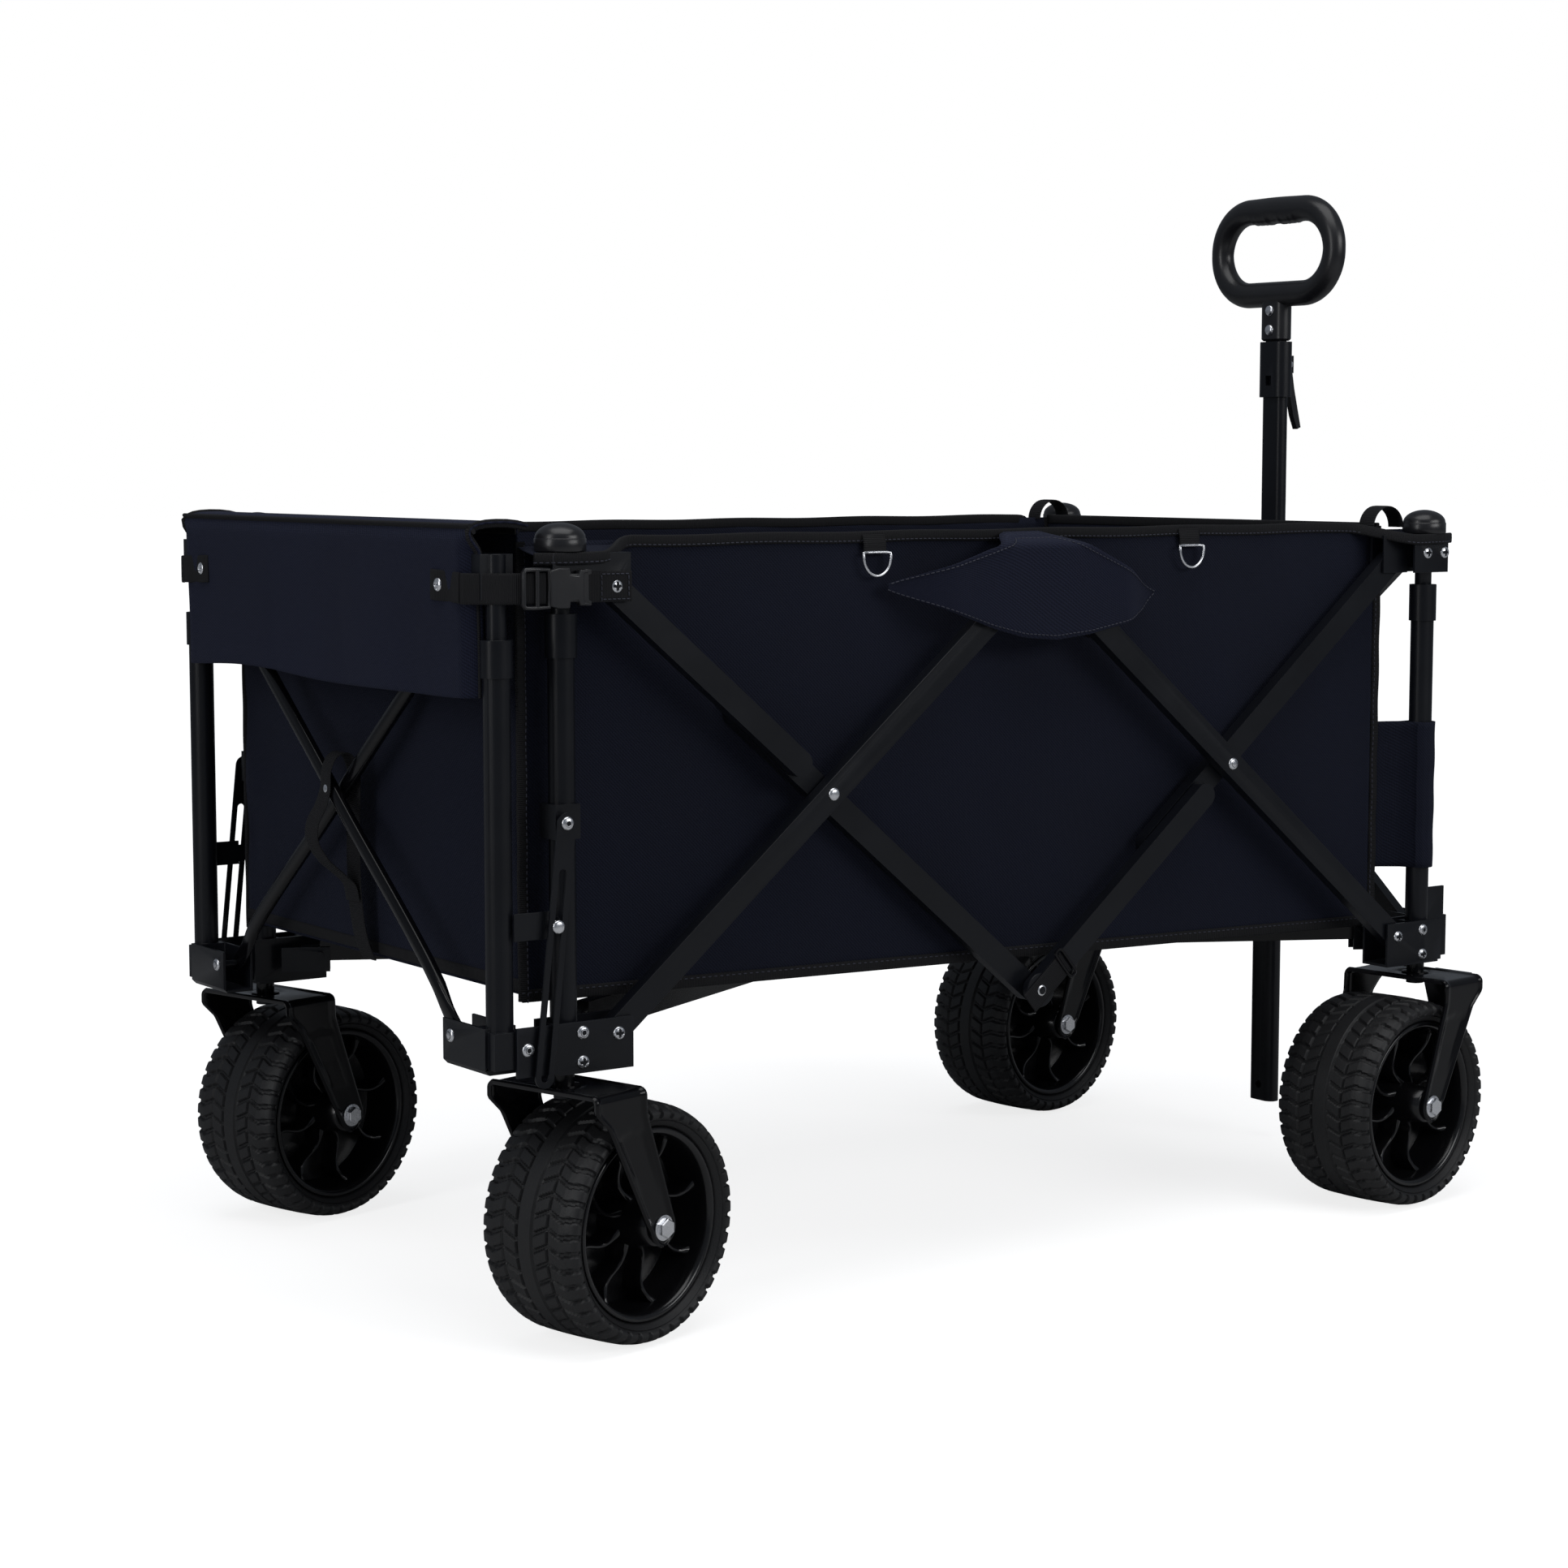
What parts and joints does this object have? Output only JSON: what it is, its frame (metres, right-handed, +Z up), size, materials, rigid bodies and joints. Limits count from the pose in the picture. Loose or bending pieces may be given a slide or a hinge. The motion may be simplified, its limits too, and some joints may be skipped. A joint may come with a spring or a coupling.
{
  "type": "folding camp wagon",
  "caption": "Folding four-wheel wagon with a scissor steel frame, open woven bag, hinged rear gate, swivel wheels and a telescoping pull handle.",
  "frame": {"origin": "on the ground, midway between the four posts in plan", "axes": "+X from the tailgate to the pull handle, +Y to the wagon's left, +Z up"},
  "size_m": [1.1475, 0.7011, 0.986],
  "materials": {
    "woven_cloth": "matte",
    "black_steel": "satin",
    "black_plastic": "satin",
    "tyre_rubber": "matte",
    "rim_plastic": "gloss",
    "floor_board": "matte"
  },
  "bodies": {
    "corner_rr": {"corner_rr": "black_steel"},
    "corner_rl": {"corner_rl": "black_steel"},
    "corner_fr": {"corner_fr": "black_steel"},
    "corner_fl": {"corner_fl": "black_steel"},
    "top_rr": {"top_rr": "black_steel", "side_panel_r": "woven_cloth", "buckle_r": "black_plastic"},
    "top_rl": {"top_rl": "black_steel", "side_panel_l": "woven_cloth", "buckle_l": "black_plastic"},
    "top_fr": {"top_fr": "black_steel", "front_panel": "woven_cloth"},
    "top_fl": {"top_fl": "black_steel"},
    "caster_rr": {"fork_rr": "black_steel"},
    "wheel_rr": {"tyre_rr": "tyre_rubber", "rim_rr": "rim_plastic"},
    "caster_rl": {"fork_rl": "black_steel"},
    "wheel_rl": {"tyre_rl": "tyre_rubber", "rim_rl": "rim_plastic"},
    "caster_fr": {"fork_fr": "black_steel"},
    "wheel_fr": {"tyre_fr": "tyre_rubber", "rim_fr": "rim_plastic"},
    "caster_fl": {"fork_fl": "black_steel"},
    "wheel_fl": {"tyre_fl": "tyre_rubber", "rim_fl": "rim_plastic"},
    "brake_fr": {"brake_fr": "black_steel"},
    "brake_fl": {"brake_fl": "black_steel"},
    "arm_a1_r": {"arm_a1_r": "black_steel"},
    "arm_b1_r": {"arm_b1_r": "black_steel"},
    "arm_a2_r": {"arm_a2_r": "black_steel"},
    "arm_b2_r": {"arm_b2_r": "black_steel"},
    "arm_a1_l": {"arm_a1_l": "black_steel"},
    "arm_b1_l": {"arm_b1_l": "black_steel"},
    "arm_a2_l": {"arm_a2_l": "black_steel"},
    "arm_b2_l": {"arm_b2_l": "black_steel"},
    "front_arm_1": {"front_arm_1": "black_steel"},
    "front_arm_2": {"front_arm_2": "black_steel"},
    "tail_arm_1": {"tail_arm_1": "black_steel"},
    "tail_arm_2": {"tail_arm_2": "black_steel"},
    "tail_post_r": {"tail_post_r": "black_steel"},
    "tail_post_l": {"tail_post_l": "black_steel"},
    "tail_top_r": {"tail_top_r": "black_steel", "tail_panel": "woven_cloth", "tail_flap": "woven_cloth"},
    "tail_top_l": {"tail_top_l": "black_steel"},
    "stay_r": {"stay_r": "black_steel"},
    "stay_pin_r": {"stay_pin_r": "black_steel"},
    "floor_r": {"floor_r": "floor_board"},
    "stay_l": {"stay_l": "black_steel"},
    "stay_pin_l": {"stay_pin_l": "black_steel"},
    "floor_l": {"floor_l": "floor_board"},
    "strut_rr": {"strut_rr": "black_steel"},
    "strut_rl": {"strut_rl": "black_steel"},
    "strut_fr": {"strut_fr": "black_steel"},
    "strut_fl": {"strut_fl": "black_steel"},
    "handle_bracket": {"handle_bracket": "black_steel"},
    "handle_sleeve": {"handle_sleeve": "black_steel"},
    "handle_pole": {"handle_pole": "black_steel"},
    "handle_grip": {"handle_grip": "black_plastic"},
    "handle_lever": {"handle_lever": "black_plastic"}
  },
  "joints": [
    {"name": "frame_fold", "type": "hinge", "parent": "corner_rr", "child": "arm_a1_r", "pos_m": [-0.445, -0.27, 0.258], "axis": [0, -1, 0], "range_deg": [0, 34.3], "deforming": ["side_panel_r", "side_panel_l", "front_panel", "tail_panel", "tail_flap", "floor_r", "floor_l"]},
    {"name": "cross_rear_r", "type": "hinge", "parent": "arm_a1_r", "child": "arm_b1_r", "pos_m": [-0.228, -0.27, 0.438], "axis": [0, -1, 0], "range_deg": [-68.8, 0]},
    {"name": "lift_rr", "type": "hinge", "parent": "arm_b1_r", "child": "top_rr", "pos_m": [-0.445, -0.27, 0.618], "axis": [0, -1, 0], "range_deg": [0, 34.5]},
    {"name": "peak_r", "type": "hinge", "parent": "arm_a1_r", "child": "arm_a2_r", "pos_m": [0, -0.27, 0.62712], "axis": [0, -1, 0], "range_deg": [-68.8, 0]},
    {"name": "cross_front_r", "type": "hinge", "parent": "arm_a2_r", "child": "arm_b2_r", "pos_m": [0.228, -0.27, 0.438], "axis": [0, -1, 0], "range_deg": [0, 68.8]},
    {"name": "base_fr", "type": "hinge", "parent": "arm_a2_r", "child": "corner_fr", "pos_m": [0.445, -0.27, 0.258], "axis": [0, -1, 0], "range_deg": [0, 34.5]},
    {"name": "lift_fr", "type": "hinge", "parent": "arm_b2_r", "child": "top_fr", "pos_m": [0.445, -0.27, 0.618], "axis": [0, -1, 0], "range_deg": [-34.5, 0]},
    {"name": "front_cross_foot", "type": "hinge", "parent": "corner_fr", "child": "front_arm_1", "pos_m": [0.513, -0.217, 0.258], "axis": [1, 0, 0], "range_deg": [0, 34.5]},
    {"name": "front_cross_middle", "type": "hinge", "parent": "front_arm_1", "child": "front_arm_2", "pos_m": [0.513, 0, 0.438], "axis": [1, 0, 0], "range_deg": [-68.8, 0]},
    {"name": "base_fl", "type": "hinge", "parent": "front_arm_2", "child": "corner_fl", "pos_m": [0.513, 0.217, 0.258], "axis": [1, 0, 0], "range_deg": [0, 34.5]},
    {"name": "handle_hanger", "type": "hinge", "parent": "front_arm_1", "child": "handle_bracket", "pos_m": [0.513, 0, 0.438], "axis": [1, 0, 0], "range_deg": [-34.5, 0]},
    {"name": "side_l_foot", "type": "hinge", "parent": "corner_fl", "child": "arm_a2_l", "pos_m": [0.445, 0.27, 0.258], "axis": [0, -1, 0], "range_deg": [-34.5, 0]},
    {"name": "cross_front_l", "type": "hinge", "parent": "arm_a2_l", "child": "arm_b2_l", "pos_m": [0.228, 0.27, 0.438], "axis": [0, -1, 0], "range_deg": [0, 68.8]},
    {"name": "lift_fl", "type": "hinge", "parent": "arm_b2_l", "child": "top_fl", "pos_m": [0.445, 0.27, 0.618], "axis": [0, -1, 0], "range_deg": [-34.5, 0]},
    {"name": "peak_l", "type": "hinge", "parent": "arm_a2_l", "child": "arm_a1_l", "pos_m": [0, 0.27, 0.62712], "axis": [0, -1, 0], "range_deg": [0, 68.8]},
    {"name": "cross_rear_l", "type": "hinge", "parent": "arm_a1_l", "child": "arm_b1_l", "pos_m": [-0.228, 0.27, 0.438], "axis": [0, -1, 0], "range_deg": [-68.8, 0]},
    {"name": "base_rl", "type": "hinge", "parent": "arm_a1_l", "child": "corner_rl", "pos_m": [-0.445, 0.27, 0.258], "axis": [0, -1, 0], "range_deg": [-34.5, 0]},
    {"name": "lift_rl", "type": "hinge", "parent": "arm_b1_l", "child": "top_rl", "pos_m": [-0.445, 0.27, 0.618], "axis": [0, -1, 0], "range_deg": [0, 34.5]},
    {"name": "tailgate", "type": "hinge", "parent": "corner_rr", "child": "tail_post_r", "pos_m": [-0.53, -0.27, 0.253], "axis": [0, -1, 0], "range_deg": [0, 90]},
    {"name": "tail_cross_foot", "type": "hinge", "parent": "tail_post_r", "child": "tail_arm_1", "pos_m": [-0.546, -0.217, 0.258], "axis": [1, 0, 0], "range_deg": [0, 34.5]},
    {"name": "tail_cross_middle", "type": "hinge", "parent": "tail_arm_1", "child": "tail_arm_2", "pos_m": [-0.546, 0, 0.438], "axis": [1, 0, 0], "range_deg": [-68.8, 0]},
    {"name": "tail_base_l", "type": "hinge", "parent": "tail_arm_2", "child": "tail_post_l", "pos_m": [-0.546, 0.217, 0.258], "axis": [1, 0, 0], "range_deg": [0, 34.5]},
    {"name": "tail_lift_l", "type": "hinge", "parent": "tail_arm_1", "child": "tail_top_l", "pos_m": [-0.546, 0.217, 0.618], "axis": [1, 0, 0], "range_deg": [-34.5, 0]},
    {"name": "tail_lift_r", "type": "hinge", "parent": "tail_arm_2", "child": "tail_top_r", "pos_m": [-0.546, -0.217, 0.618], "axis": [1, 0, 0], "range_deg": [0, 34.5]},
    {"name": "stay_r", "type": "hinge", "parent": "corner_rr", "child": "stay_r", "pos_m": [-0.495, -0.27, 0.432], "axis": [0, 1, 0], "range_deg": [0, 34.72]},
    {"name": "stay_pin_r", "type": "slide", "parent": "stay_r", "child": "stay_pin_r", "axis": [-0.1091, 0, -0.994], "range_m": [0, 0.12058]},
    {"name": "stay_l", "type": "hinge", "parent": "corner_rl", "child": "stay_l", "pos_m": [-0.495, 0.27, 0.432], "axis": [0, 1, 0], "range_deg": [0, 34.72]},
    {"name": "stay_pin_l", "type": "slide", "parent": "stay_l", "child": "stay_pin_l", "axis": [-0.1091, 0, -0.994], "range_m": [0, 0.12058]},
    {"name": "strut_rr", "type": "hinge", "parent": "corner_rr", "child": "strut_rr", "pos_m": [-0.447, -0.234, 0.2565], "axis": [0.4638, -0.8859, 0], "range_deg": [0, 75.66]},
    {"name": "strut_rl", "type": "hinge", "parent": "corner_rl", "child": "strut_rl", "pos_m": [-0.447, 0.234, 0.2565], "axis": [-0.4638, -0.8859, 0], "range_deg": [0, 75.66]},
    {"name": "strut_fr", "type": "hinge", "parent": "corner_fr", "child": "strut_fr", "pos_m": [0.447, -0.234, 0.2565], "axis": [0.4638, 0.8859, 0], "range_deg": [0, 75.66]},
    {"name": "strut_fl", "type": "hinge", "parent": "corner_fl", "child": "strut_fl", "pos_m": [0.447, 0.234, 0.2565], "axis": [-0.4638, 0.8859, 0], "range_deg": [0, 75.66]},
    {"name": "floor_fold_r", "type": "hinge", "parent": "top_rr", "child": "floor_r", "pos_m": [0, -0.245, 0.289], "axis": [1, 0, 0], "range_deg": [0, 85.95]},
    {"name": "floor_fold_l", "type": "hinge", "parent": "top_rl", "child": "floor_l", "pos_m": [0, 0.245, 0.289], "axis": [-1, 0, 0], "range_deg": [0, 85.95]},
    {"name": "swivel_rr", "type": "hinge", "parent": "corner_rr", "child": "caster_rr", "pos_m": [-0.487, -0.27, 0.219], "axis": [0, 0, 1], "continuous": true},
    {"name": "spin_rr", "type": "hinge", "parent": "caster_rr", "child": "wheel_rr", "pos_m": [-0.43677, -0.25654, 0.1], "axis": [-0.2588, 0.9659, 0], "continuous": true},
    {"name": "swivel_rl", "type": "hinge", "parent": "corner_rl", "child": "caster_rl", "pos_m": [-0.487, 0.27, 0.219], "axis": [0, 0, 1], "continuous": true},
    {"name": "spin_rl", "type": "hinge", "parent": "caster_rl", "child": "wheel_rl", "pos_m": [-0.43677, 0.28346, 0.1], "axis": [-0.2588, 0.9659, 0], "continuous": true},
    {"name": "swivel_fr", "type": "hinge", "parent": "corner_fr", "child": "caster_fr", "pos_m": [0.487, -0.27, 0.219], "axis": [0, 0, 1], "continuous": true},
    {"name": "spin_fr", "type": "hinge", "parent": "caster_fr", "child": "wheel_fr", "pos_m": [0.43551, -0.27724, 0.1], "axis": [0.1392, -0.9903, 0], "continuous": true},
    {"name": "brake_fr", "type": "hinge", "parent": "caster_fr", "child": "brake_fr", "pos_m": [0.52562, -0.26457, 0.209], "axis": [-0.1392, 0.9903, 0], "range_deg": [0, 32]},
    {"name": "swivel_fl", "type": "hinge", "parent": "corner_fl", "child": "caster_fl", "pos_m": [0.487, 0.27, 0.219], "axis": [0, 0, 1], "continuous": true},
    {"name": "spin_fl", "type": "hinge", "parent": "caster_fl", "child": "wheel_fl", "pos_m": [0.43551, 0.26276, 0.1], "axis": [0.1392, -0.9903, 0], "continuous": true},
    {"name": "brake_fl", "type": "hinge", "parent": "caster_fl", "child": "brake_fl", "pos_m": [0.52562, 0.27543, 0.209], "axis": [-0.1392, 0.9903, 0], "range_deg": [0, 32]},
    {"name": "handle_tilt", "type": "hinge", "parent": "handle_bracket", "child": "handle_sleeve", "pos_m": [0.547, 0, 0.24], "axis": [0, 1, 0], "range_deg": [0, 60]},
    {"name": "pole_slide", "type": "slide", "parent": "handle_sleeve", "child": "handle_pole", "axis": [0, 0, 1], "range_m": [0, 0.3]},
    {"name": "grip_slide", "type": "slide", "parent": "handle_pole", "child": "handle_grip", "axis": [0, 0, 1], "range_m": [0, 0.35]},
    {"name": "latch_lever", "type": "hinge", "parent": "handle_pole", "child": "handle_lever", "pos_m": [0.561, 0, 0.815], "axis": [0, 1, 0], "range_deg": [0, 10], "stiffness_Nm_per_rad": 0.2, "springref_deg": -17.19}
  ],
  "couplings": [
    {"joint": "cross_rear_r", "follows": "frame_fold", "ratio": -2},
    {"joint": "lift_rr", "follows": "frame_fold", "ratio": 1},
    {"joint": "peak_r", "follows": "frame_fold", "ratio": -2},
    {"joint": "cross_front_r", "follows": "frame_fold", "ratio": 2},
    {"joint": "base_fr", "follows": "frame_fold", "ratio": 1},
    {"joint": "lift_fr", "follows": "frame_fold", "ratio": -1},
    {"joint": "front_cross_foot", "follows": "frame_fold", "ratio": 1},
    {"joint": "front_cross_middle", "follows": "frame_fold", "ratio": -2},
    {"joint": "base_fl", "follows": "frame_fold", "ratio": 1},
    {"joint": "handle_hanger", "follows": "frame_fold", "ratio": -1},
    {"joint": "side_l_foot", "follows": "frame_fold", "ratio": -1},
    {"joint": "cross_front_l", "follows": "frame_fold", "ratio": 2},
    {"joint": "lift_fl", "follows": "frame_fold", "ratio": -1},
    {"joint": "peak_l", "follows": "frame_fold", "ratio": 2},
    {"joint": "cross_rear_l", "follows": "frame_fold", "ratio": -2},
    {"joint": "base_rl", "follows": "frame_fold", "ratio": -1},
    {"joint": "lift_rl", "follows": "frame_fold", "ratio": 1},
    {"joint": "tail_cross_foot", "follows": "frame_fold", "ratio": 1},
    {"joint": "tail_cross_middle", "follows": "frame_fold", "ratio": -2},
    {"joint": "tail_base_l", "follows": "frame_fold", "ratio": 1},
    {"joint": "tail_lift_l", "follows": "frame_fold", "ratio": -1},
    {"joint": "tail_lift_r", "follows": "frame_fold", "ratio": 1},
    {"joint": "stay_r", "follows": "tailgate", "ratio": 0.38358},
    {"joint": "stay_pin_r", "follows": "tailgate", "m_per_rad": 0.076127},
    {"joint": "stay_l", "follows": "tailgate", "ratio": 0.38358},
    {"joint": "stay_pin_l", "follows": "tailgate", "m_per_rad": 0.076127},
    {"joint": "strut_rr", "follows": "frame_fold", "ratio": 2.2},
    {"joint": "strut_rl", "follows": "frame_fold", "ratio": 2.2},
    {"joint": "strut_fr", "follows": "frame_fold", "ratio": 2.2},
    {"joint": "strut_fl", "follows": "frame_fold", "ratio": 2.2},
    {"joint": "floor_fold_r", "follows": "frame_fold", "ratio": 2.5},
    {"joint": "floor_fold_l", "follows": "frame_fold", "ratio": 2.5}
  ]
}
